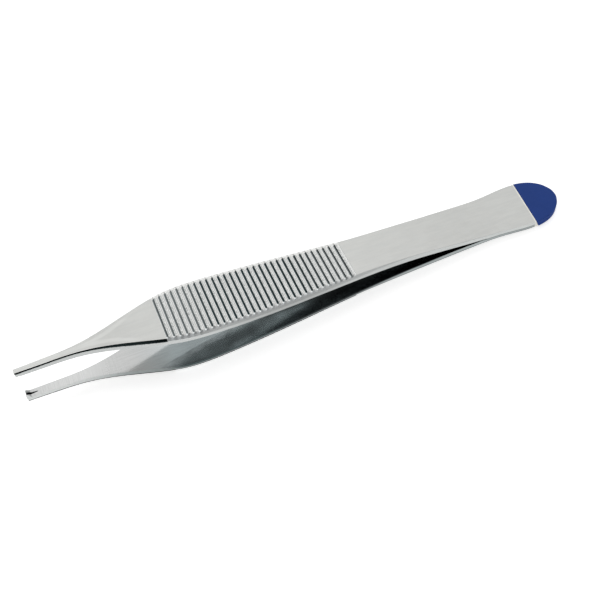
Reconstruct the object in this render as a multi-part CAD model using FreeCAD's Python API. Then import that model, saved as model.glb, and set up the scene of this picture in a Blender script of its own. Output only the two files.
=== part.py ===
import FreeCAD, Part
import math
import os

# Thumb forceps with one-into-two teeth, drawn in millimetres.
# Drawing frame: tips at X = 0, butt at X = LENGTH, arms mirrored about Z = 0, both symmetric about Y = 0.
# The last step lays the part down on its lower arm and centres it over the table.

LENGTH = 120.0

# Plan outline, as half widths
TIP_HALF_WIDTH = 0.66
LOWER_TIP_EXTRA = 0.22
LOWER_SHANK_EXTRA = 0.18
SHANK_LENGTH = 12.0
SHANK_HALF_WIDTH = 1.0
SHOULDER_LENGTH = 12.0
SHOULDER_HALF_WIDTH = 4.17
GRIP_PEAK_X = 39.0
GRIP_HALF_WIDTH = 6.75
WAIST_X = 83.0
WAIST_HALF_WIDTH = 4.68
PAD_FROM_BUTT = 8.0
PAD_HALF_WIDTH = 5.85

# Height of the outer face above the mid plane
TIP_HEIGHT = 4.9
BELLY_X = 25.0
BELLY_HEIGHT = 5.6
GRIP_REAR_HEIGHT = 3.38
WAIST_HEIGHT = 2.65
BUTT_HEIGHT = 0.8
BUTT_FLAT = 13.0

# Thickness of one arm
TIP_THICKNESS = 1.2
SHANK_THICKNESS = 1.4
BELLY_THICKNESS = 1.5
HANDLE_THICKNESS = 1.4
WAIST_THICKNESS = 1.33
WELD_LENGTH = 19.0

# Bevel along the outer edges
SHOULDER_BEVEL = 0.4
GRIP_BEVEL = 0.36
TIP_BEVEL = 0.14
HANDLE_BEVEL = 0.05
NOSE_BEVEL_RISE = 1.0
GRIP_BEVEL_RISE = 1.8
BEVEL_SECTIONS = 24
TIP_CORNER = 0.3

# Thumb grip
RIDGE_COUNT = 32
RIDGE_PITCH = 1.266
GRIP_START = 29.4
RIDGE_HEIGHT = 0.26
RIDGE_BASE = 1.2
RIDGE_TOP = 0.5
RIDGE_ROOT = 0.1
RIDGE_RUNOUT = 0.08

# Teeth
TOOTH_HEIGHT = 0.7
TOOTH_LENGTH = 1.1
TOOTH_TIP_LENGTH = 0.35
TOOTH_HALF_WIDTH = 0.42
TOOTH_POINT = 0.06
TOOTH_ROOT = 0.2
TEETH_SPREAD = 0.6
PAIR_HALF_WIDTH = 0.4
RELIEF_LENGTH = 1.2
RELIEF_DEPTH = 0.5
NOTCH_LENGTH = 2.4
NOTCH_DEPTH = 0.45
NOTCH_HALF_WIDTH = 0.3

# Dipped coat on the butt
COAT_LENGTH = 7.3
COAT = 0.12
COAT_EDGE = 0.1
COAT_POINTS = 8
COAT_SLANT = 5.7
COAT_LEAN = 25.0

GRIP_END = GRIP_START + RIDGE_COUNT * RIDGE_PITCH
WELD_X = LENGTH - WELD_LENGTH
PAD_X = LENGTH - PAD_FROM_BUTT
SHOULDER_X = SHANK_LENGTH + SHOULDER_LENGTH
UPPER_NOSE = (TIP_HALF_WIDTH, SHANK_HALF_WIDTH)
LOWER_NOSE = (TIP_HALF_WIDTH + LOWER_TIP_EXTRA, SHANK_HALF_WIDTH + LOWER_SHANK_EXTRA)


def vec(x, y, z):
    return FreeCAD.Vector(x, y, z)


def spline(points, first, last):
    curve = Part.BSplineCurve()
    curve.interpolate(Points=points, InitialTangent=first, FinalTangent=last)
    return curve


def blend(a, b, share):
    return a + (b - a) * share


def height_curve():
    """Outer face of an arm in the XZ plane, from the tip to the flat of the butt."""
    flat_x = LENGTH - BUTT_FLAT
    points = [
        vec(0, 0, TIP_HEIGHT),
        vec(SHANK_LENGTH * 0.75, 0, blend(TIP_HEIGHT, BELLY_HEIGHT, 0.25)),
        vec(BELLY_X, 0, BELLY_HEIGHT),
        vec(blend(BELLY_X, GRIP_END, 0.45), 0, blend(BELLY_HEIGHT, GRIP_REAR_HEIGHT, 0.45)),
        vec(GRIP_END, 0, GRIP_REAR_HEIGHT),
        vec(WAIST_X, 0, WAIST_HEIGHT),
        vec(blend(WAIST_X, flat_x, 0.6), 0, blend(WAIST_HEIGHT, BUTT_HEIGHT, 0.73)),
        vec(flat_x, 0, BUTT_HEIGHT),
    ]
    return spline(points, vec(1, 0, 0.01), vec(1, 0, 0))


def inner_curve():
    """Inner face of an arm in the XZ plane, from the tip to the start of the welded land."""
    mid_grip = blend(BELLY_X, GRIP_END, 0.45)
    points = [
        vec(0, 0, TIP_HEIGHT - TIP_THICKNESS),
        vec(SHANK_LENGTH, 0, outer_height(SHANK_LENGTH) - SHANK_THICKNESS),
        vec(BELLY_X, 0, BELLY_HEIGHT - BELLY_THICKNESS),
        vec(mid_grip, 0, outer_height(mid_grip) - blend(BELLY_THICKNESS, HANDLE_THICKNESS, 0.7)),
        vec(GRIP_END, 0, GRIP_REAR_HEIGHT - HANDLE_THICKNESS),
        vec(WAIST_X, 0, WAIST_HEIGHT - WAIST_THICKNESS),
        vec(WELD_X, 0, 0),
    ]
    return spline(points, vec(1, 0, 0), vec(1, 0, -0.06))


def side_profile():
    """Closed side view of one arm, run past the butt end."""
    outer = height_curve()
    inner = inner_curve()
    flat_x = LENGTH - BUTT_FLAT
    end_x = LENGTH + 1.0
    edges = [
        outer.toShape(),
        Part.makeLine(vec(flat_x, 0, BUTT_HEIGHT), vec(end_x, 0, BUTT_HEIGHT)),
        Part.makeLine(vec(end_x, 0, BUTT_HEIGHT), vec(end_x, 0, 0)),
        Part.makeLine(vec(end_x, 0, 0), vec(WELD_X, 0, 0)),
        inner.toShape(),
        Part.makeLine(vec(0, 0, TIP_HEIGHT - TIP_THICKNESS), vec(0, 0, TIP_HEIGHT)),
    ]
    return Part.Face(Part.Wire(Part.__sortEdges__(edges)))


def front_outline(nose):
    """Plan outline on the +Y side, from the tip corner to the widest part of the grip."""
    tip_half_width, shank_half_width = nose
    points = [
        vec(0, tip_half_width, 0),
        vec(SHANK_LENGTH * 0.5, blend(tip_half_width, shank_half_width, 0.2), 0),
        vec(SHANK_LENGTH, shank_half_width, 0),
        vec(SHOULDER_X, SHOULDER_HALF_WIDTH, 0),
        vec(blend(SHOULDER_X, GRIP_PEAK_X, 0.5), blend(SHOULDER_HALF_WIDTH, GRIP_HALF_WIDTH, 0.8), 0),
        vec(GRIP_PEAK_X, GRIP_HALF_WIDTH, 0),
    ]
    return spline(points, vec(1, 0.01, 0), vec(1, 0, 0))


def rear_outline():
    """Plan outline on the +Y side, from the widest part of the grip to the middle of the butt."""
    points = [
        vec(GRIP_PEAK_X, GRIP_HALF_WIDTH, 0),
        vec(blend(GRIP_PEAK_X, WAIST_X, 0.5), blend(GRIP_HALF_WIDTH, WAIST_HALF_WIDTH, 0.46), 0),
        vec(WAIST_X, WAIST_HALF_WIDTH, 0),
        vec(blend(WAIST_X, PAD_X, 0.52), blend(WAIST_HALF_WIDTH, PAD_HALF_WIDTH, 0.31), 0),
        vec(blend(WAIST_X, PAD_X, 0.76), blend(WAIST_HALF_WIDTH, PAD_HALF_WIDTH, 0.56), 0),
        vec(PAD_X, PAD_HALF_WIDTH, 0),
        vec(LENGTH - PAD_FROM_BUTT * 0.3, PAD_HALF_WIDTH * 0.72, 0),
        vec(LENGTH, 0, 0),
    ]
    return spline(points, vec(1, 0, 0), vec(0, -1, 0))


def mirrored_face(halves, start_half_width, start_x):
    """Face between outline curves on the +Y side, their mirror images and a straight end."""
    near = [curve.toShape() for curve in halves]
    far = [edge.mirror(vec(0, 0, 0), vec(0, 1, 0)) for edge in near]
    end = Part.makeLine(vec(start_x, -start_half_width, 0), vec(start_x, start_half_width, 0))
    return Part.Face(Part.Wire(Part.__sortEdges__(near + far + [end])))


def plan_outline(nose):
    return mirrored_face([front_outline(nose), rear_outline()], nose[0], 0)


def half_width(nose, x):
    """Half width of the plan outline at a place along the arm."""
    if x < GRIP_PEAK_X:
        return curve_at(front_outline(nose), max(x, 0)).y
    return curve_at(rear_outline(), x).y


def arm_blank(nose):
    """Side profile and plan outline crossed, with the tip corners rounded."""
    reach = 2 * GRIP_HALF_WIDTH
    side = side_profile()
    side.translate(vec(0, -reach, 0))
    bar = side.extrude(vec(0, 2 * reach, 0))
    plan = plan_outline(nose)
    plan.translate(vec(0, 0, -1))
    column = plan.extrude(vec(0, 0, BELLY_HEIGHT + 3))
    blank = bar.common(column).Solids[0]
    corners = [edge for edge in blank.Edges if edge.BoundBox.XMax < 0.01 and edge.BoundBox.YLength < 0.01]
    return blank.makeFillet(TIP_CORNER, corners)


def curve_at(curve, x):
    """Point of a curve that runs along X, found by halving."""
    low = curve.FirstParameter
    high = curve.LastParameter
    for _ in range(40):
        middle = (low + high) / 2
        if curve.value(middle).x < x:
            low = middle
        else:
            high = middle
    return curve.value((low + high) / 2)


def outer_height(x):
    if x >= LENGTH - BUTT_FLAT:
        return BUTT_HEIGHT
    return curve_at(height_curve(), max(x, 0)).z


def stepped(steps, x):
    """Value at a place along the arm, running straight from each step to the next."""
    for (x0, value0), (x1, value1) in zip(steps, steps[1:]):
        if x <= x1:
            return blend(value0, value1, max(x - x0, 0) / (x1 - x0))
    return steps[-1][1]


def bevel_at(x):
    """Width of the edge bevel along the arm; it runs out to nothing before the coat."""
    return stepped([
        (0, TIP_BEVEL),
        (SHANK_LENGTH, TIP_BEVEL),
        (SHOULDER_X, SHOULDER_BEVEL),
        (GRIP_PEAK_X, GRIP_BEVEL),
        (GRIP_END, GRIP_BEVEL),
        (WAIST_X, HANDLE_BEVEL),
        (WELD_X, HANDLE_BEVEL),
        (LENGTH - BUTT_FLAT, -HANDLE_BEVEL),
    ], x)


def bevel_rise(x):
    """Height of the bevel over its width: even on the nose, steeper along the grip and the handle."""
    return stepped([(GRIP_START, NOSE_BEVEL_RISE), (GRIP_PEAK_X, GRIP_BEVEL_RISE)], x)


def bevel_cutter(nose):
    """Slender wedge that trims the outer edge of one side."""
    margin = 0.3
    first = -1.0
    last = LENGTH - BUTT_FLAT
    sections = []
    for step in range(BEVEL_SECTIONS + 1):
        x = blend(first, last, step / BEVEL_SECTIONS)
        width = half_width(nose, x)
        top = outer_height(x)
        bevel = bevel_at(x)
        rise = bevel_rise(x)
        low = vec(x, width + margin, top - rise * (bevel + margin))
        high = vec(x, width - bevel - margin, top + rise * margin)
        corner = vec(x, width + margin, top + rise * margin)
        sections.append(Part.makePolygon([low, high, corner, low]))
    return Part.makeLoft(sections, True, False)


def quad(points):
    return Part.makePolygon(points + [points[0]])


def ridge(middle_x):
    """One bar of the thumb grip, hipped at both ends, following the outer face."""
    half_root = RIDGE_BASE / 2
    half_top = RIDGE_TOP / 2
    here = outer_height(middle_x)
    slope = (outer_height(middle_x + half_root) - outer_height(middle_x - half_root)) / RIDGE_BASE

    def level(half, depth, inset):
        corners = []
        for x, side in ((-half, 1), (half, 1), (half, -1), (-half, -1)):
            width = half_width(UPPER_NOSE, middle_x + x) - bevel_at(middle_x) - inset
            corners.append(vec(middle_x + x, side * width, here + slope * x + depth))
        return quad(corners)

    root = level(half_root, -RIDGE_ROOT, -RIDGE_RUNOUT - RIDGE_ROOT)
    top = level(half_top, RIDGE_HEIGHT, RIDGE_HEIGHT - RIDGE_RUNOUT)
    return Part.makeLoft([root, top], True, True)


def tooth(middle_y, half_width, sunk):
    """Tapered tooth on the inner face at the very tip."""
    face = TIP_HEIGHT - TIP_THICKNESS

    def level(length, half, z):
        return quad([
            vec(0, middle_y - half, z),
            vec(length, middle_y - half, z),
            vec(length, middle_y + half, z),
            vec(0, middle_y + half, z),
        ])

    root = level(TOOTH_LENGTH, half_width, face + TOOTH_ROOT + sunk)
    point = level(TOOTH_TIP_LENGTH, TOOTH_POINT, face - TOOTH_HEIGHT)
    return Part.makeLoft([root, point], True, True)


def notch():
    """Groove between the paired teeth, fading out along the inner face."""
    face = TIP_HEIGHT - TIP_THICKNESS
    half = NOTCH_HALF_WIDTH
    mouth = Part.makePolygon([
        vec(-0.1, -half, face - 0.1),
        vec(-0.1, half, face - 0.1),
        vec(-0.1, 0, face + NOTCH_DEPTH),
        vec(-0.1, -half, face - 0.1),
    ])
    tail = Part.makePolygon([
        vec(NOTCH_LENGTH, -half / 2, face - 0.1),
        vec(NOTCH_LENGTH, half / 2, face - 0.1),
        vec(NOTCH_LENGTH, 0, face),
        vec(NOTCH_LENGTH, -half / 2, face - 0.1),
    ])
    return Part.makeLoft([mouth, tail], True, True)


def relief():
    """Wedge cut off the inner face at the tip, where the other arm's paired teeth pass beside the single one."""
    face = TIP_HEIGHT - TIP_THICKNESS
    reach = 2 * TIP_HALF_WIDTH
    side = quad([
        vec(-0.1, -reach, face - 0.1),
        vec(-0.1, -reach, face + RELIEF_DEPTH),
        vec(0, -reach, face + RELIEF_DEPTH),
        vec(RELIEF_LENGTH, -reach, face - 0.1),
    ])
    return Part.Face(side).extrude(vec(0, 2 * reach, 0))


def make_arm(nose, tooth_rows):
    """Arm with bevelled edges, thumb grip and teeth, drawn as the upper one."""
    arm = arm_blank(nose)
    cutter = bevel_cutter(nose)
    arm = arm.cut(cutter)
    arm = arm.cut(cutter.mirror(vec(0, 0, 0), vec(0, 1, 0)))
    single = len(tooth_rows) == 1
    if single:
        arm = arm.cut(relief())
    ridges = [ridge(GRIP_START + (number + 0.5) * RIDGE_PITCH) for number in range(RIDGE_COUNT)]
    teeth = [tooth(middle_y, half, RELIEF_DEPTH * single) for middle_y, half in tooth_rows]
    arm = arm.fuse(ridges + teeth)
    if not single:
        arm = arm.cut(notch())
    return arm.Solids[0]


def coat_outline():
    """Plan outline of the butt end, grown by the coat."""
    curve = rear_outline()
    first = curve.parameter(vec(LENGTH - 1.2 * COAT_LENGTH, WAIST_HALF_WIDTH, 0))
    points = []
    for step in range(COAT_POINTS + 1):
        here = blend(first, curve.LastParameter, step / COAT_POINTS)
        along = curve.tangent(here)[0]
        points.append(curve.value(here) + vec(-along.y, along.x, 0) * COAT)
    grown = spline(points, curve.tangent(first)[0], vec(0, -1, 0))
    return mirrored_face([grown], points[0].y, points[0].x)


def slab(face, half):
    """Plan face pulled out evenly on both sides of the mid plane."""
    face.translate(vec(0, 0, -half))
    return face.extrude(vec(0, 0, 2 * half))


def make_coat():
    """Thin dipped skin over the butt end of both welded arms."""
    half = BUTT_HEIGHT + COAT
    reach = 2 * GRIP_HALF_WIDTH
    dip_x = LENGTH - COAT_LENGTH
    dip = Part.makeBox(2 * COAT_LENGTH, 2 * reach, 8 * half, vec(dip_x, -reach, -4 * half))
    dip.rotate(vec(dip_x, 0, half), vec(0, 1, 0), -COAT_LEAN)
    dip.rotate(vec(dip_x, 0, half), vec(0, 0, 1), -COAT_SLANT)
    body = slab(coat_outline(), half).common(dip).Solids[0]
    rims = []
    for edge in body.Edges:
        box = edge.BoundBox
        if box.ZLength < 0.01 and box.XLength > 1:
            rims.append(edge)
    body = body.makeChamfer(COAT_EDGE, rims)
    core = slab(plan_outline(UPPER_NOSE), BUTT_HEIGHT)
    return body.cut(core).Solids[0]


def rest_tilt(balance_x):
    """Angle that lays the lower arm down on the two lowest places either side of its balance."""
    feet = [(LENGTH + COAT - COAT_EDGE, BUTT_HEIGHT + COAT)]
    for number in range(RIDGE_COUNT):
        middle_x = GRIP_START + (number + 0.5) * RIDGE_PITCH
        for x in (middle_x - RIDGE_TOP / 2, middle_x + RIDGE_TOP / 2):
            feet.append((x, outer_height(x) + RIDGE_HEIGHT))
    front = [foot for foot in feet if foot[0] <= balance_x]
    rear = [foot for foot in feet if foot[0] > balance_x]
    lines = []
    for x0, height0 in front:
        for x1, height1 in rear:
            under = blend(height0, height1, (balance_x - x0) / (x1 - x0))
            lines.append((under, math.atan2(height0 - height1, x1 - x0)))
    return math.degrees(max(lines)[1])


def build():
    upper = make_arm(UPPER_NOSE, [(0, TOOTH_HALF_WIDTH)])
    paired = [(-TEETH_SPREAD, PAIR_HALF_WIDTH), (TEETH_SPREAD, PAIR_HALF_WIDTH)]
    lower = make_arm(LOWER_NOSE, paired)
    lower = lower.mirror(vec(0, 0, 0), vec(0, 0, 1))
    parts = {"upper_arm": upper, "lower_arm": lower, "end_coat": make_coat()}
    tilt = rest_tilt(upper.CenterOfMass.x)
    for shape in parts.values():
        shape.rotate(vec(0, 0, 0), vec(0, 1, 0), tilt)
    whole = Part.makeCompound(list(parts.values())).optimalBoundingBox(False, False)
    move = vec(-(whole.XMin + whole.XMax) / 2, 0, -whole.ZMin)
    for shape in parts.values():
        shape.translate(move)
    return parts


os.makedirs("parts", exist_ok=True)
for name, shape in build().items():
    shape.exportStep("parts/" + name + ".step")
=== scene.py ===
import math

import bpy
from mathutils import Matrix, Vector

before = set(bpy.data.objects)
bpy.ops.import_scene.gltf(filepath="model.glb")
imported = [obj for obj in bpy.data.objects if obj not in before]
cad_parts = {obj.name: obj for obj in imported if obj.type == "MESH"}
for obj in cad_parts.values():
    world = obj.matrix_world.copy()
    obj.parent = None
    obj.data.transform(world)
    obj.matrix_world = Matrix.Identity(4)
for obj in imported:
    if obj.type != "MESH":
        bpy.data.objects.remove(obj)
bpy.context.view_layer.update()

# Camera
CAMERA_PLACE = Vector((-0.029931, -0.108038, 0.151796))
CAMERA_AIM = Vector((-0.002517, -0.004744, 0.006))
CAMERA_ROLL = math.radians(-9.6086)
LENS_MM = 53.270
SENSOR_MM = 36.0

# Lie of the forceps: lowered butt, and where the middle of the tips is, in metres
LIE_TILT = math.radians(3.10352)
TIP_PLACE = (-0.05986147, 0.0, 0.00741667)

# Places along the arms, from the tips, in metres
GRIP_START = 0.0294
GRIP_END = 0.0699
RIDGE_PITCH = 0.001266

# Shape of an arm along its length, in millimetres: height of the outer face off the mid plane, and half width
OUTER_HEIGHT = [(0, 4.9), (9, 5.075), (16, 5.363), (20, 5.515), (24, 5.596), (29.4, 5.526), (40, 4.95),
                (50, 4.314), (60, 3.815), (69.9, 3.381), (83, 2.65), (97, 1.336), (107, 0.8), (120, 0.8)]
HALF_WIDTH = [(0, 0.66), (12, 1.0), (16, 1.73), (24, 4.17), (29.4, 5.78), (35, 6.65), (40, 6.75), (50, 6.47),
              (60, 5.87), (69.9, 5.18), (83, 4.68), (97, 5.02), (110, 5.7)]
LENGTH = 120.0
MM_PER_METRE = 1000.0

# A pair below is a fade: the value where something begins to show, and the value where it shows in full.
# Four numbers are a fade with the levels at its start and at its end. Places along the arm are in metres.

# Halves of the forceps off the mid plane, and of an arm off its middle line, in metres
UPPER_ARM = (0.0, 0.0001)
LOWER_ARM = (0.0, -0.0001)
FAR_SIDE = (0.0, 0.001)
NEAR_SIDE = (0.0, -0.001)

# Where the slender tips pass into the nose, from lines across the arm to lines along it
TIPS_END = (0.012, 0.024)

# Ways a surface faces, as the cosine to a direction of the arm
OUTER_FACING = (0.9, 0.97)
INNER_FACING = (-0.5, -0.7)
SIDE_FACING = (0.3, 0.5)
BAR_FACING = (0.52, 0.58)
TIPWARD_FACING = (-0.2, -0.4)

# Noise and lines: fades that stretch them to their full tone, their scale per metre, and their direction
CLOUD_SPAN = (0.35, 0.65)
LINE_SPAN = (0.3, 0.7)
RIDGE_SPAN = (0.36, 0.62)
FINE_SCALE = 9000.0
STREAK_SCALE = 1500.0
RIDGE_SCALE = 5000.0
INNER_SCALE = 420.0
PEEL_SCALE = 1800.0
COAT_SCALE = 260.0
LINES_ACROSS = (1.0, 0.04, 0.04)
LINES_ALONG = (0.03, 1.0, 1.0)
STREAK_STRETCH = (0.12, 1.0, 1.0)
CLOUD_STRETCH = (0.6, 1.0, 1.0)

# Bumps, as their depth in metres and strength; drawn lines are lower than the pits of the blasted skin
STEEL_BUMP = (0.00002, 0.4)
COAT_BUMP = (0.00003, 0.3)
LINE_HEIGHT = 0.3

# Parts of one bar of the grip, as shares of the pitch
BAR_DARK_END = (0.34, 0.31)
BAR_TOP_START = (0.45, 0.60)
BAR_TOP_END = (0.98, 0.88)
BAR_BRIGHT_START = (0.61, 0.65)
BAR_BRIGHT_END = (0.99, 0.97)
BAR_MIDDLE = 0.65

# Bars with lighter painted shade at the tip end and the butt end: how many, and over how many more it turns
# dark
FIRST_BARS = (5, 3)
LAST_BARS = (2, 8)

# Plain margins beside the bars, in millimetres from the edge, the far one painted light as a highlight; a
# groove ends in a point on the near side
FAR_MARGIN = (1.15, 0.76)
NEAR_MARGIN = 0.34
NEAR_POINT = 0.7
NEAR_FADE = (0.06, -0.02)
NEAR_END = (GRIP_END, GRIP_END - 0.008, 0.3, 1.0)

# Steel, as reflectance of each kind of surface
FACE_LIGHT = (0.505, 0.508, 0.492, 1)
FACE_DULL = (0.445, 0.452, 0.441, 1)
RIDGE_GREY = (0.25, 0.26, 0.255, 1)
RIDGE_PALE = (0.58, 0.59, 0.58, 1)
# Bright flanks take a painted highlight; the first flanks and the dark flanks are painted shade
FLANK_PAINTED_HIGHLIGHT = (0.92, 0.925, 0.91, 1)
FIRST_FLANK_PAINTED_SHADE = (0.16, 0.18, 0.185, 1)
FLANK_PAINTED_SHADE = (0.035, 0.055, 0.06, 1)
MARGIN_GREY = (0.68, 0.71, 0.715, 1)
EDGE_SATIN = (0.65, 0.67, 0.66, 1)
EDGE_DULL = (0.56, 0.58, 0.575, 1)
# Near-black colour of the mirror band: a painted dark reflection
MIRROR_PAINTED_REFLECTION = (0.014, 0.023, 0.024, 1)
# Rim on the side of the lower arm: painted shade
RIM_PAINTED_SHADE = (0.26, 0.28, 0.285, 1)
EDGE_PLAIN = (1, 1, 1, 1)
EDGE_COOL = (0.94, 1.0, 1.01, 1)
EDGE_SHADE = (0.05, 0.07, 0.072, 1)
# Black of the notch between the teeth: painted shade
NOTCH_PAINTED_SHADE = (0.02, 0.022, 0.024, 1)
INNER_WARM = (0.99, 1.0, 0.99, 1)
INNER_COOL = (0.94, 1.0, 1.01, 1)
COAT_LINE = (0.66, 0.65, 0.60, 1)

# Roughness of each kind of surface; a pair runs from the dark to the light of its grain or lines
FACE_ROUGH = (0.36, 0.44)
SIDE_ROUGH = (0.26, 0.34)
TIP_INNER_ROUGH = (0.30, 0.38)
INNER_ROUGH = (0.07, 0.13)
PALE_ROUGH = 0.3
FLANK_ROUGH = 0.2
MARGIN_ROUGH = 0.42
MIRROR_ROUGH = 0.06

# How metallic the bright flanks and ends of the bars are: their painted highlight scatters light more than it
# mirrors it
PALE_METAL = 0.15

# How light the outer faces are along the arm
FACE_TONE = [(0, 1.14), (11, 1.11), (20, 1.03), (29, 1.01), (70, 0.98), (110, 0.94), (120, 0.94)]

# Painted highlights on two soft creases of the nose: where they start, how they spread (in 1/m), how wide they
# are and how light
CREASE_START = 0.012
CREASE_SPREAD = 22.2
CREASE_WIDTH = (0.0008, 0.0001)
CREASE_END = (0.027, 0.020)
CREASE_HIGHLIGHT_GAIN = 1.12

# Painted highlight along the edge of the nose: its width in millimetres from the edge, where it starts, its
# gain
LIP_WIDTH = (0.34, 0.16)
LIP_START = (GRIP_START, 0.025)
LIP_HIGHLIGHT_GAIN = 1.22

# Polished mirror band under the outer edge of the nose, coloured near black as a painted dark reflection: its
# width in millimetres, its ragged line and where it ends
BAND_WIDTH = (0.012, 0.025, 0.34, 0.64)
BAND_RAGGED = (-0.06, 0.06)
BAND_EDGE = (-0.02, 0.02)
BAND_END = (GRIP_START, GRIP_START - 0.0002)

# Rim and shade on the side of the lower arm, both painted shade, in millimetres under its outer face, and the
# seam at the butt
RIM_DEPTH = (0.32, 0.22)
SHADE_DEPTH = (0.82, 0.98)
SHADE_DROP = (0.066, 0.078, 0.0, 0.14)
SHADE_START = (0.026, 0.032)
SHADE_END = (0.096, 0.086)
SHADE_TONE = (0.048, 0.058, 1.0, 0.3)
SEAM_HEIGHT = (0.00036, 0.00022)
SEAM_START = (0.099, 0.101)
SEAM_GAIN = 0.55

# Notch between the paired teeth, painted black as shade, in metres: how it narrows toward its back, and where
# it stops
NOTCH_HALF = (0.0, 0.0024, 0.00036, 0.00014)
NOTCH_SIDE = (0.0, 0.00006)
NOTCH_BACK = (0.0025, 0.0022)
NOTCH_TOP = (0.0042, 0.0040)
NOTCH_FACING = (0.5, 0.3)

# Reflectance of the inner faces along the arm, as painted shade and painted reflections that darken toward the
# butt: as ground, and past the slanted line where a painted reflection begins
INNER_SHADE_LEVEL = [(0, 0.48), (8, 0.55), (19, 0.40), (25, 0.38), (33, 0.48), (48, 0.39), (57, 0.42), (66, 0.27),
               (120, 0.22)]
REFLECTION_LEVEL = [(0, 0.26), (30, 0.30), (39, 0.24), (46, 0.33), (52, 0.13), (57, 0.12), (64, 0.26), (120, 0.22)]

# Front line of the painted reflection: its place along the arm where it crosses a line off the middle, its
# slope and bend
REFLECTION_START = 0.0264
REFLECTION_CROSSING = 0.0047
REFLECTION_SLOPE = 3.5
REFLECTION_BEND = 695.0
REFLECTION_EDGE = (-0.0007, 0.0009)
WIDEST_HALF = 0.0067

# Levels of the painted reflection run slanted too: they lag toward the middle of the arm
LAG_CROSSING = 0.006
LAG_SLOPE = -4.0

# Clouds and scratches of the inner faces, and where their tint turns cool
CLOUD_TONE = (0.80, 1.20)
SCRATCH_DARK = (0.010, 0.014, 0.86, 0.95)
SCRATCH_LIGHT = 1.06
INNER_TURN = (0.020, 0.032)

# How much lighter the inner face of the upper arm is than that of the lower arm, as painted light that the
# lower arm's inner face reflects
UPPER_PAINTED_LIGHT = [(0, 1.0), (14, 1.3), (23, 1.75), (35, 1.15), (46, 1.95), (60, 1.6), (120, 1.2)]

# How light the sides of the arms are along them; the lower arm's sides are mostly darker, as painted shade
UPPER_SIDE = [(0, 0.82), (18, 0.82), (30, 0.90), (36, 0.90), (46, 0.74), (57, 0.66), (70, 0.80), (84, 0.86),
              (120, 0.90)]
LOWER_SIDE_SHADE = [(0, 0.98), (9, 0.97), (22, 0.53), (32, 0.45), (60, 0.48), (72, 0.46), (81, 0.60), (120, 0.64)]

# Coat, and where its front line crosses the outer face; its sides are painted lighter as painted light
COAT_BLUE = (0.024, 0.061, 0.258, 1)
COAT_DARK = (0.022, 0.057, 0.242, 1)
COAT_START = 0.1127
COAT_SLANT = 0.0998
COAT_LINE_FADE = (COAT_START - 0.00028, COAT_START - 0.00012)
COAT_SIDE_PAINTED_LIGHT = (0.9, 0.1, 1.0, 1.35)
COAT_ROUGH = (0.62, 0.72)
COAT_SHEEN = 0.08

# Table
TABLE_SIZE = 6.0
TABLE_GREY = (0.75, 0.75, 0.75, 1)
TABLE_ROUGH = 0.9
TABLE_GLOW = 0.62

# Studio: brightness of the room, and its darker parts as direction, full and outer angle, and depth
WHITE = (1, 1, 1, 1)
ROOM_LEVEL = 0.64
CURTAIN = ((0.05, -0.85, 0.6), 14, 27, 0.61)
CORNER = ((-0.70, 0.55, 0.46), 15, 21, 0.60)
BOX_PLACE = (0.25, 0.53, 0.72)
BOX_SIZE = 1.05
BOX_BRIGHTNESS = 0.82

ORIGIN = (0.0, 0.0, 0.0)


def make_camera():
    """Camera above the near side of the tips, turned about its own axis."""
    data = bpy.data.cameras.new("camera")
    data.lens = LENS_MM
    data.sensor_width = SENSOR_MM
    data.clip_start = 0.01
    data.clip_end = 20.0
    camera = bpy.data.objects.new("camera", data)
    bpy.context.scene.collection.objects.link(camera)
    look = (CAMERA_AIM - CAMERA_PLACE).to_track_quat("-Z", "Y").to_matrix().to_4x4()
    camera.matrix_world = Matrix.Translation(CAMERA_PLACE) @ look @ Matrix.Rotation(CAMERA_ROLL, 4, "Z")
    bpy.context.scene.camera = camera


make_camera()


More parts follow.
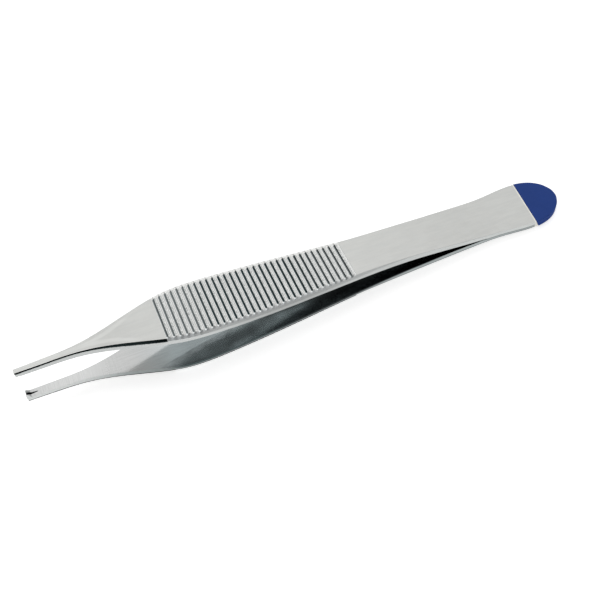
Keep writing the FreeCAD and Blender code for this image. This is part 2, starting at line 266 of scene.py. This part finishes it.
class Sheet:
    """Small helper that lays out the nodes of one tree."""

    # Colour sockets of the mix node, which come after those for numbers and vectors
    MIX_FIRST, MIX_SECOND, MIX_RESULT = 6, 7, 2

    def __init__(self, tree):
        self.tree = tree
        self.count = 0

    def add(self, kind, **values):
        node = self.tree.nodes.new(kind)
        node.location = (200 * (self.count % 8), -220 * (self.count // 8))
        self.count += 1
        for name, value in values.items():
            setattr(node, name, value)
        return node

    def put(self, socket, value):
        if isinstance(value, bpy.types.NodeSocket):
            self.tree.links.new(value, socket)
        else:
            socket.default_value = value

    def put_all(self, sockets, **values):
        """Fill sockets by name; an underscore stands for the space in a name."""
        for name, value in values.items():
            self.put(sockets[name.replace("_", " ")], value)

    def math(self, operation, *values, clamp=False):
        node = self.add("ShaderNodeMath", operation=operation, use_clamp=clamp)
        for socket, value in zip(node.inputs, values):
            self.put(socket, value)
        return node.outputs[0]

    def times(self, *values):
        """Product of two or more numbers."""
        product = values[0]
        for value in values[1:]:
            product = self.math("MULTIPLY", product, value)
        return product

    def minus(self, first, second):
        return self.math("SUBTRACT", first, second)

    def size(self, value):
        """Number without its sign."""
        return self.math("ABSOLUTE", value)

    def weigh(self, first, second, share):
        """Sum of a share of the first number and the rest of the second."""
        return self.math("ADD", self.times(first, share), self.times(second, 1.0 - share))

    def vector(self, operation, *values):
        node = self.add("ShaderNodeVectorMath", operation=operation)
        for socket, value in zip(node.inputs, values):
            self.put(socket, value)
        return node.outputs["Value" if operation == "DOT_PRODUCT" else "Vector"]

    def ramp(self, value, low, high, start=0.0, end=1.0):
        """Smooth step of a value from low to high."""
        node = self.add("ShaderNodeMapRange", interpolation_type="SMOOTHSTEP")
        self.put_all(node.inputs, Value=value, From_Min=low, From_Max=high, To_Min=start, To_Max=end)
        return node.outputs["Result"]

    def window(self, value, rise, fall):
        """Mask that comes in over one fade and goes out over another."""
        return self.times(self.ramp(value, *rise), self.ramp(value, *fall))

    def mix(self, share, first, second):
        """Blend of two colours, or of two plain numbers."""
        node = self.add("ShaderNodeMix", data_type="RGBA")
        self.put(node.inputs[0], share)
        for place, value in ((self.MIX_FIRST, first), (self.MIX_SECOND, second)):
            plain = isinstance(value, (int, float))
            self.put(node.inputs[place], (value, value, value, 1) if plain else value)
        return node.outputs[self.MIX_RESULT]

    def tint(self, colour, level):
        """Colour made lighter or darker by a level, or coloured by another colour."""
        colour = colour[:3] if isinstance(colour, tuple) else colour
        return self.vector("MULTIPLY", colour, level)

    def glow(self, colour, mask, gain):
        """Colour times a gain where the mask is full."""
        return self.tint(colour, self.ramp(mask, 0.0, 1.0, 1.0, gain))

    def noise(self, vector, scale, detail=2.0, roughness=0.5):
        node = self.add("ShaderNodeTexNoise")
        self.put_all(node.inputs, Vector=vector, Scale=scale, Detail=detail, Roughness=roughness)
        return node.outputs["Fac"]

    def curve(self, along, points, height):
        """Smooth curve through points given in millimetres along the arm, with levels up to the height."""
        node = self.add("ShaderNodeFloatCurve")
        line = node.mapping.curves[0]
        for _ in points[2:]:
            line.points.new(0.5, 0.5)
        for point, (x, level) in zip(line.points, points):
            point.location = (x / LENGTH, level / height)
        node.mapping.update()
        self.put(node.inputs["Value"], self.times(along, MM_PER_METRE / LENGTH))
        return self.times(node.outputs["Value"], height)

    def bump(self, height, distance, strength):
        node = self.add("ShaderNodeBump")
        self.put_all(node.inputs, Height=height, Distance=distance, Strength=strength)
        return node.outputs[0]

    def group(self, tree, **values):
        node = self.add("ShaderNodeGroup")
        node.node_tree = tree
        self.put_all(node.inputs, **values)
        return node.outputs


def new_group(name, inputs, outputs, vectors=()):
    """Empty node group; inputs come with their defaults, where a triple makes a vector."""
    tree = bpy.data.node_groups.new(name, "ShaderNodeTree")
    for label, value in inputs.items():
        kind = "NodeSocketVector" if isinstance(value, tuple) else "NodeSocketFloat"
        tree.interface.new_socket(label, in_out="INPUT", socket_type=kind).default_value = value
    for label in outputs:
        kind = "NodeSocketVector" if label in vectors else "NodeSocketFloat"
        tree.interface.new_socket(label, in_out="OUTPUT", socket_type=kind)
    sheet = Sheet(tree)
    return tree, sheet, sheet.add("NodeGroupInput").outputs, sheet.add("NodeGroupOutput").inputs


def arm_places():
    """Group: place along and across the arm and off its mid plane, and how far a surface faces each way."""
    tree, sheet, given, out = new_group(
        "arm places", {"Place": ORIGIN, "Facing": ORIGIN},
        ["Place", "Along", "Across", "Level", "Height", "Outward", "Sideways", "Lengthways"], vectors=["Place"])
    along = (math.cos(LIE_TILT), 0.0, -math.sin(LIE_TILT))
    across = (0.0, 1.0, 0.0)
    up = (math.sin(LIE_TILT), 0.0, math.cos(LIE_TILT))
    offset = sheet.vector("SUBTRACT", given["Place"], TIP_PLACE)
    axes = (along, across, up)
    x, y, z = [sheet.vector("DOT_PRODUCT", offset, axis) for axis in axes]
    lengthways, sideways, upward = [sheet.vector("DOT_PRODUCT", given["Facing"], axis) for axis in axes]
    place = sheet.add("ShaderNodeCombineXYZ")
    sheet.put_all(place.inputs, X=x, Y=y, Z=z)
    sheet.put_all(out, Place=place.outputs[0], Along=x, Across=y, Level=z, Height=sheet.size(z),
                  Outward=sheet.times(upward, sheet.math("SIGN", z)), Sideways=sideways, Lengthways=lengthways)
    return tree


def drawn_lines():
    """Group: long fine lines left by a grinding belt, along one direction of the vector."""
    tree, sheet, given, out = new_group(
        "drawn lines", {"Place": ORIGIN, "Stretch": (1.0, 1.0, 1.0), "Scale": 4000.0}, ["Line"])
    stretched = sheet.vector("MULTIPLY", given["Place"], given["Stretch"])
    fine = sheet.noise(stretched, given["Scale"], 3.0, 0.6)
    coarse = sheet.noise(stretched, sheet.times(given["Scale"], 0.3))
    sheet.put(out["Line"], sheet.weigh(fine, coarse, 0.6))
    return tree


def blasted_skin():
    """Group: dull pitted skin of blasted steel, as a cloudy tone and a height."""
    tree, sheet, given, out = new_group("blasted skin", {"Place": ORIGIN, "Scale": 6000.0}, ["Tone", "Pits"])
    cloud = sheet.noise(given["Place"], sheet.times(given["Scale"], 0.07), 3.0, 0.6)
    speck = sheet.noise(given["Place"], given["Scale"], 2.0, 0.7)
    sheet.put_all(out, Tone=sheet.weigh(cloud, speck, 0.6), Pits=speck)
    return tree


def thumb_grip():
    """Group: masks for the bars of the grip, from the place on the arm and the way a surface faces; they carry
    painted shade and painted highlights.
    """
    tree, sheet, given, out = new_group(
        "thumb grip",
        {"Along": 0.0, "Across": 0.0, "Outward": 0.0, "Lengthways": 0.0, "Aside": 0.0, "Margin": 1.0},
        ["Within", "Dark Flank", "Bright Flank", "Bar End", "Middle Bars", "Near Margin"])
    along, across, margin = given["Along"], given["Across"], given["Margin"]
    blur = 0.0001
    within = sheet.window(along, (GRIP_START - blur, GRIP_START), (GRIP_END + blur, GRIP_END))
    within = sheet.times(within, sheet.ramp(given["Outward"], *BAR_FACING))
    phase = sheet.math("FRACT", sheet.math("DIVIDE", sheet.minus(along, GRIP_START), RIDGE_PITCH))

    # Far ends of the bars, which take a painted highlight, and the tipward flanks that are painted dark as
    # shade up to there
    far_end = sheet.times(sheet.ramp(across, *FAR_SIDE), sheet.ramp(margin, *FAR_MARGIN))
    tipward = sheet.math("MAXIMUM", sheet.ramp(given["Lengthways"], *TIPWARD_FACING),
                         sheet.ramp(phase, *BAR_DARK_END))
    dark = sheet.times(tipward, sheet.minus(1.0, far_end))
    end = sheet.math("MAXIMUM", sheet.times(given["Aside"], sheet.window(phase, BAR_TOP_START, BAR_TOP_END)),
                     far_end)

    # Near margin, which reaches further in between the bars and fades out toward the end of the grip
    off_bar = sheet.size(sheet.minus(phase, BAR_MIDDLE))
    bare = sheet.minus(margin, sheet.math("MULTIPLY_ADD", off_bar, NEAR_POINT, NEAR_MARGIN))
    near = sheet.times(sheet.ramp(across, *NEAR_SIDE), sheet.ramp(bare, *NEAR_FADE),
                       sheet.ramp(along, *NEAR_END))

    # Bars away from both ends of the grip, with the darkest painted shade on their flanks
    first = [GRIP_START + count * RIDGE_PITCH for count in (FIRST_BARS[0], sum(FIRST_BARS))]
    last = [GRIP_END - count * RIDGE_PITCH for count in (LAST_BARS[0], sum(LAST_BARS))]
    middle_bars = sheet.window(along, first, last)

    sheet.put_all(out, Within=within, Dark_Flank=sheet.times(within, dark),
                  Bright_Flank=sheet.times(within, sheet.window(phase, BAR_BRIGHT_START, BAR_BRIGHT_END)),
                  Bar_End=sheet.times(within, end), Middle_Bars=middle_bars,
                  Near_Margin=sheet.times(within, near))
    return tree


def inner_reflectance():
    """Group: reflectance of the inner faces along the arm, with painted shade, and a painted reflection past a
    slanted curved line.
    """
    tree, sheet, given, out = new_group(
        "inner polish", {"Along": 0.0, "Across": 0.0, "Level": 0.0, "Cloud": 0.5}, ["Reflectance"])
    along, level = given["Along"], given["Level"]
    across = sheet.math("MINIMUM", sheet.size(given["Across"]), WIDEST_HALF)
    inset = sheet.minus(REFLECTION_CROSSING, across)
    slope = sheet.math("MULTIPLY_ADD", inset, REFLECTION_BEND, REFLECTION_SLOPE)
    line = sheet.math("MULTIPLY_ADD", inset, slope, REFLECTION_START)
    begun = sheet.ramp(sheet.minus(along, line), *REFLECTION_EDGE)
    lag = sheet.math("MULTIPLY_ADD", sheet.minus(LAG_CROSSING, across), LAG_SLOPE, along)

    # Base level darkens toward the butt as painted shade; the upper arm's inner face is lifted as painted light
    ground = sheet.curve(along, INNER_SHADE_LEVEL, 1.0)
    upper = sheet.ramp(level, *UPPER_ARM)
    ground = sheet.mix(upper, ground, sheet.times(ground, sheet.curve(along, UPPER_PAINTED_LIGHT, 2.0)))
    # Past the slanted line, the lower arm's inner face carries a painted reflection
    reflection_level = sheet.times(sheet.curve(lag, REFLECTION_LEVEL, 1.0),
                           sheet.ramp(given["Cloud"], *CLOUD_SPAN, *CLOUD_TONE))
    lower_reflection = sheet.times(begun, sheet.ramp(level, *LOWER_ARM))
    sheet.put(out["Reflectance"], sheet.mix(lower_reflection, ground, reflection_level))
    return tree


def edge_band():
    """Group: how far a place is in from the edge, and the mirror band with its painted dark reflection, and the
    rim and shade of painted shade on the side of the arm.
    """
    tree, sheet, given, out = new_group(
        "edge band", {"Along": 0.0, "Across": 0.0, "Height": 0.0, "Aside": 0.0, "Roughen": 0.5},
        ["Margin", "Mirror", "Rim", "Shade"])
    along, aside = given["Along"], given["Aside"]
    half = sheet.curve(along, HALF_WIDTH, 10.0)
    margin = sheet.minus(half, sheet.times(sheet.size(given["Across"]), MM_PER_METRE))
    face = sheet.curve(along, OUTER_HEIGHT, 10.0)
    under = sheet.minus(face, sheet.times(given["Height"], MM_PER_METRE))

    # The mirror band, which carries a painted dark reflection, lies under the outer edge of the nose, with a
    # ragged lower line
    band = sheet.ramp(along, *BAND_WIDTH)
    band = sheet.math("ADD", band, sheet.ramp(given["Roughen"], *CLOUD_SPAN, *BAND_RAGGED))
    high = sheet.ramp(sheet.minus(band, under), *BAND_EDGE)
    nose = sheet.ramp(along, *BAND_END)

    # The shade lies further under the edge, from the grip to the coat
    inset = sheet.minus(under, sheet.ramp(along, *SHADE_DROP))
    deep = sheet.times(sheet.ramp(inset, *SHADE_DEPTH), sheet.window(along, SHADE_START, SHADE_END))

    sheet.put_all(out, Margin=margin, Mirror=sheet.times(high, aside, nose),
                  Rim=sheet.times(sheet.ramp(under, *RIM_DEPTH), aside), Shade=sheet.times(deep, aside))
    return tree


def tip_notch(sheet, at):
    """Mask for painted shade in the groove between the paired teeth and on the faces of the teeth that look
    into it.
    """
    half = sheet.ramp(at["Along"], *NOTCH_HALF)
    between = sheet.ramp(sheet.minus(half, sheet.size(at["Across"])), *NOTCH_SIDE)
    near = sheet.ramp(at["Along"], *NOTCH_BACK)
    inside = sheet.times(sheet.ramp(at["Height"], *NOTCH_TOP), sheet.ramp(at["Outward"], *NOTCH_FACING))
    return sheet.times(sheet.ramp(at["Level"], *LOWER_ARM), between, near, inside)


def outer_face(sheet, at, edge, grain):
    """Colour of the plain outer face: streaked blasted steel, with painted highlights along the edge and on the
    two creases of the nose.
    """
    along = at["Along"]
    streak = sheet.noise(sheet.vector("MULTIPLY", at["Place"], STREAK_STRETCH), STREAK_SCALE, 4.0, 0.65)
    tone = sheet.math("MULTIPLY_ADD", grain, 0.5, sheet.ramp(streak, *LINE_SPAN, 0.0, 0.5))
    face = sheet.mix(tone, FACE_DULL, FACE_LIGHT)
    # Painted highlight along the edge of the nose
    lip_highlight = sheet.times(sheet.ramp(edge["Margin"], *LIP_WIDTH), sheet.ramp(along, *LIP_START))
    face = sheet.glow(face, lip_highlight, LIP_HIGHLIGHT_GAIN)
    # Painted highlights on the two creases of the nose
    run = sheet.math("MAXIMUM", sheet.minus(along, CREASE_START), 0.0)
    off_crease = sheet.size(sheet.minus(sheet.size(at["Across"]), sheet.times(run, run, CREASE_SPREAD)))
    crease_highlight = sheet.times(sheet.ramp(off_crease, *CREASE_WIDTH), sheet.ramp(along, *CREASE_END))
    face = sheet.glow(face, crease_highlight, CREASE_HIGHLIGHT_GAIN)
    return sheet.tint(face, sheet.curve(along, FACE_TONE, 2.0))


def side_faces(sheet, at, edge, line_tone, behind_tips):
    """Colour of the satin sides; the lower arm is cooler and mostly darker as painted shade, with a rim and a
    shade, both painted shade, and the seam at the butt.
    """
    along = at["Along"]
    satin = sheet.mix(line_tone, EDGE_DULL, EDGE_SATIN)
    upper_side = sheet.tint(satin, sheet.curve(along, UPPER_SIDE, 1.0))
    cool = sheet.mix(behind_tips, EDGE_PLAIN, EDGE_COOL)
    # The lower arm's sides are mostly darker than the upper's, as painted shade
    lower_side = sheet.tint(sheet.tint(satin, cool), sheet.curve(along, LOWER_SIDE_SHADE, 1.0))
    # Rim and shade on the lower arm's side are painted shade
    lower_side = sheet.mix(edge["Rim"], lower_side, RIM_PAINTED_SHADE)
    shade = sheet.tint(EDGE_SHADE, sheet.ramp(along, *SHADE_TONE))
    lower_side = sheet.mix(edge["Shade"], lower_side, shade)
    seam = sheet.times(sheet.ramp(at["Height"], *SEAM_HEIGHT), sheet.ramp(along, *SEAM_START))
    lower_side = sheet.glow(lower_side, seam, SEAM_GAIN)
    return sheet.mix(sheet.ramp(at["Level"], *LOWER_ARM), upper_side, lower_side)


def inner_face(sheet, at, groups, line_tone):
    """Colour of the inner faces: ground at the tips, mirror-finished behind, with clouds, fine scratches,
    painted shade and painted reflections.
    """
    along = at["Along"]
    cloud = sheet.noise(sheet.vector("MULTIPLY", at["Place"], CLOUD_STRETCH), INNER_SCALE, 3.0, 0.6)
    inside = sheet.group(groups["painted_reflection"], Along=along, Across=at["Across"], Level=at["Level"], Cloud=cloud)
    scratch = sheet.ramp(line_tone, 0.0, 1.0, sheet.ramp(along, *SCRATCH_DARK), SCRATCH_LIGHT)
    colour = sheet.mix(sheet.ramp(along, *INNER_TURN), INNER_WARM, INNER_COOL)
    return sheet.tint(colour, sheet.times(inside["Reflectance"], scratch))


def new_material(name):
    material = bpy.data.materials.new(name)
    material.use_nodes = True
    shader = material.node_tree.nodes["Principled BSDF"]
    shader.location = (1900, 0)
    material.node_tree.nodes["Material Output"].location = (2200, 0)
    return material, Sheet(material.node_tree), shader


def steel_material(groups):
    """Stainless steel: blasted outer faces, barred grip, satin sides, mirror band and ground inner faces, with
    painted light and shade on the bars, edges, sides, notch and inner faces.
    """
    material, sheet, shader = new_material("forceps steel")
    seat = sheet.add("ShaderNodeTexCoord").outputs
    at = sheet.group(groups["places"], Place=seat["Object"], Facing=seat["Normal"])
    along, across, outward, place = at["Along"], at["Across"], at["Outward"], at["Place"]

    skin = sheet.group(groups["skin"], Place=place, Scale=FINE_SCALE)
    grain = sheet.ramp(skin["Tone"], *CLOUD_SPAN)
    cross = sheet.group(groups["lines"], Place=place, Stretch=LINES_ACROSS, Scale=FINE_SCALE)["Line"]
    lengthways = sheet.group(groups["lines"], Place=place, Stretch=LINES_ALONG, Scale=FINE_SCALE)["Line"]
    behind_tips = sheet.ramp(along, *TIPS_END)
    lines = sheet.mix(behind_tips, cross, lengthways)
    line_tone = sheet.ramp(lines, *LINE_SPAN)

    outer = sheet.ramp(outward, *OUTER_FACING)
    inner = sheet.ramp(outward, *INNER_FACING)
    aside = sheet.ramp(sheet.size(at["Sideways"]), *SIDE_FACING)
    edge = sheet.group(groups["edge"], Along=along, Across=across, Height=at["Height"], Aside=aside,
                       Roughen=cross)
    grip = sheet.group(groups["grip"], Along=along, Across=across, Outward=outward,
                       Lengthways=at["Lengthways"], Aside=aside, Margin=edge["Margin"])
    # Bright flanks and bar ends, which take a painted highlight
    painted_highlight = sheet.math("MAXIMUM", grip["Bright Flank"], grip["Bar End"])

    ridge_tone = sheet.ramp(sheet.noise(place, RIDGE_SCALE, 2.0, 0.6), *RIDGE_SPAN)
    ridge = sheet.mix(ridge_tone, RIDGE_GREY, RIDGE_PALE)
    outside = sheet.mix(grip["Within"], outer_face(sheet, at, edge, grain), ridge)
    colour = sheet.mix(outer, side_faces(sheet, at, edge, line_tone, behind_tips), outside)
    colour = sheet.mix(inner, colour, inner_face(sheet, at, groups, line_tone))
    # Painted highlight on the bright flanks and far ends of the bars
    colour = sheet.mix(painted_highlight, colour, FLANK_PAINTED_HIGHLIGHT)
    # Painted shade on the tipward flanks, lighter on the first and last bars
    flank_shade = sheet.mix(grip["Middle Bars"], FIRST_FLANK_PAINTED_SHADE, FLANK_PAINTED_SHADE)
    colour = sheet.mix(grip["Dark Flank"], colour, flank_shade)
    colour = sheet.mix(grip["Near Margin"], colour, MARGIN_GREY)
    # Painted dark reflection on the mirror band
    colour = sheet.mix(edge["Mirror"], colour, MIRROR_PAINTED_REFLECTION)
    # Painted shade in the notch between the teeth
    colour = sheet.mix(tip_notch(sheet, at), colour, NOTCH_PAINTED_SHADE)
    coat_line = sheet.ramp(sheet.minus(along, sheet.times(across, COAT_SLANT)), *COAT_LINE_FADE)
    colour = sheet.mix(coat_line, colour, COAT_LINE)

    inner_rough = sheet.mix(behind_tips, sheet.mix(line_tone, *TIP_INNER_ROUGH),
                            sheet.mix(line_tone, *INNER_ROUGH))
    rough = sheet.mix(outer, sheet.mix(line_tone, *SIDE_ROUGH), sheet.mix(grain, *FACE_ROUGH))
    rough = sheet.mix(inner, rough, inner_rough)
    rough = sheet.mix(painted_highlight, rough, PALE_ROUGH)
    rough = sheet.mix(grip["Dark Flank"], rough, FLANK_ROUGH)
    rough = sheet.mix(grip["Near Margin"], rough, MARGIN_ROUGH)
    rough = sheet.mix(edge["Mirror"], rough, MIRROR_ROUGH)

    height = sheet.mix(outer, sheet.times(lines, LINE_HEIGHT), skin["Pits"])
    height = sheet.mix(edge["Mirror"], height, 0.0)
    sheet.put_all(shader.inputs, Base_Color=colour, Metallic=sheet.mix(painted_highlight, 1.0, PALE_METAL), Roughness=rough,
                  Normal=sheet.bump(height, *STEEL_BUMP))
    return material


def coat_material():
    """Matt blue dipped coat with a faint orange-peel skin; its sides are painted lighter as painted light."""
    material, sheet, shader = new_material("blue dip")
    seat = sheet.add("ShaderNodeTexCoord").outputs
    facing = sheet.vector("DOT_PRODUCT", seat["Normal"], (0.0, 0.0, 1.0))
    peel = sheet.noise(seat["Object"], PEEL_SCALE)
    cloud = sheet.noise(seat["Object"], COAT_SCALE, 3.0)
    blue = sheet.mix(sheet.ramp(cloud, *LINE_SPAN), COAT_DARK, COAT_BLUE)
    # Sides of the coat are painted lighter, as painted light against their shade
    blue = sheet.tint(blue, sheet.ramp(facing, *COAT_SIDE_PAINTED_LIGHT))
    sheet.put_all(shader.inputs, Base_Color=blue, Roughness=sheet.ramp(peel, *LINE_SPAN, *COAT_ROUGH),
                  Specular_IOR_Level=COAT_SHEEN, Normal=sheet.bump(peel, *COAT_BUMP))
    return material


def finish_pieces():
    """Steel on the two arms and blue on the coat."""
    groups = {"places": arm_places(), "lines": drawn_lines(), "skin": blasted_skin(), "grip": thumb_grip(),
              "edge": edge_band(), "painted_reflection": inner_reflectance()}
    steel, coat = steel_material(groups), coat_material()
    for name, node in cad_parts.items():
        node.data.materials.clear()
        node.data.materials.append(coat if name == "end_coat" else steel)


def make_table():
    """White table: plain for light, and a little brighter to the eye so that it shows as white paper."""
    material, sheet, shader = new_material("white table")
    path = sheet.add("ShaderNodeLightPath").outputs
    seen = sheet.math("ADD", path["Is Camera Ray"], path["Is Glossy Ray"], clamp=True)
    sheet.put_all(shader.inputs, Base_Color=TABLE_GREY, Roughness=TABLE_ROUGH, Specular_IOR_Level=0.0,
                  Emission_Color=WHITE, Emission_Strength=sheet.times(seen, TABLE_GLOW))
    bpy.ops.object.select_all(action="DESELECT")
    bpy.ops.mesh.primitive_plane_add(size=TABLE_SIZE, location=ORIGIN)
    plane = bpy.context.object
    plane.name = "table"
    plane.data.materials.append(material)


def soft_box():
    """Square soft box that looks at the forceps; its brightness is what a mirror would show."""
    data = bpy.data.lights.new("back soft box", "AREA")
    data.shape = "RECTANGLE"
    data.size = data.size_y = BOX_SIZE
    data.energy = BOX_BRIGHTNESS * math.pi * BOX_SIZE ** 2
    light = bpy.data.objects.new("back soft box", data)
    bpy.context.scene.collection.objects.link(light)
    place = Vector(BOX_PLACE)
    turn = (-place).to_track_quat("-Z", "Y").to_matrix().to_4x4()
    light.matrix_world = Matrix.Translation(place) @ turn


def studio():
    """Pale room, white to the camera, with a dark curtain on the near side and a dark corner past the tips."""
    world = bpy.data.worlds.new("studio")
    bpy.context.scene.world = world
    world.use_nodes = True
    sheet = Sheet(world.node_tree)
    way = sheet.add("ShaderNodeTexCoord").outputs["Generated"]
    level = ROOM_LEVEL
    for direction, full, rim, depth in (CURTAIN, CORNER):
        near = sheet.vector("DOT_PRODUCT", way, tuple(Vector(direction).normalized()))
        patch = sheet.ramp(near, math.cos(math.radians(rim)), math.cos(math.radians(full)))
        level = sheet.minus(level, sheet.times(patch, depth))
    seen = sheet.add("ShaderNodeLightPath").outputs["Is Camera Ray"]
    sheet.put_all(world.node_tree.nodes["Background"].inputs, Color=WHITE,
                  Strength=sheet.math("MAXIMUM", level, seen))


finish_pieces()
make_table()
studio()
soft_box()

bpy.context.scene.view_settings.view_transform = "Standard"
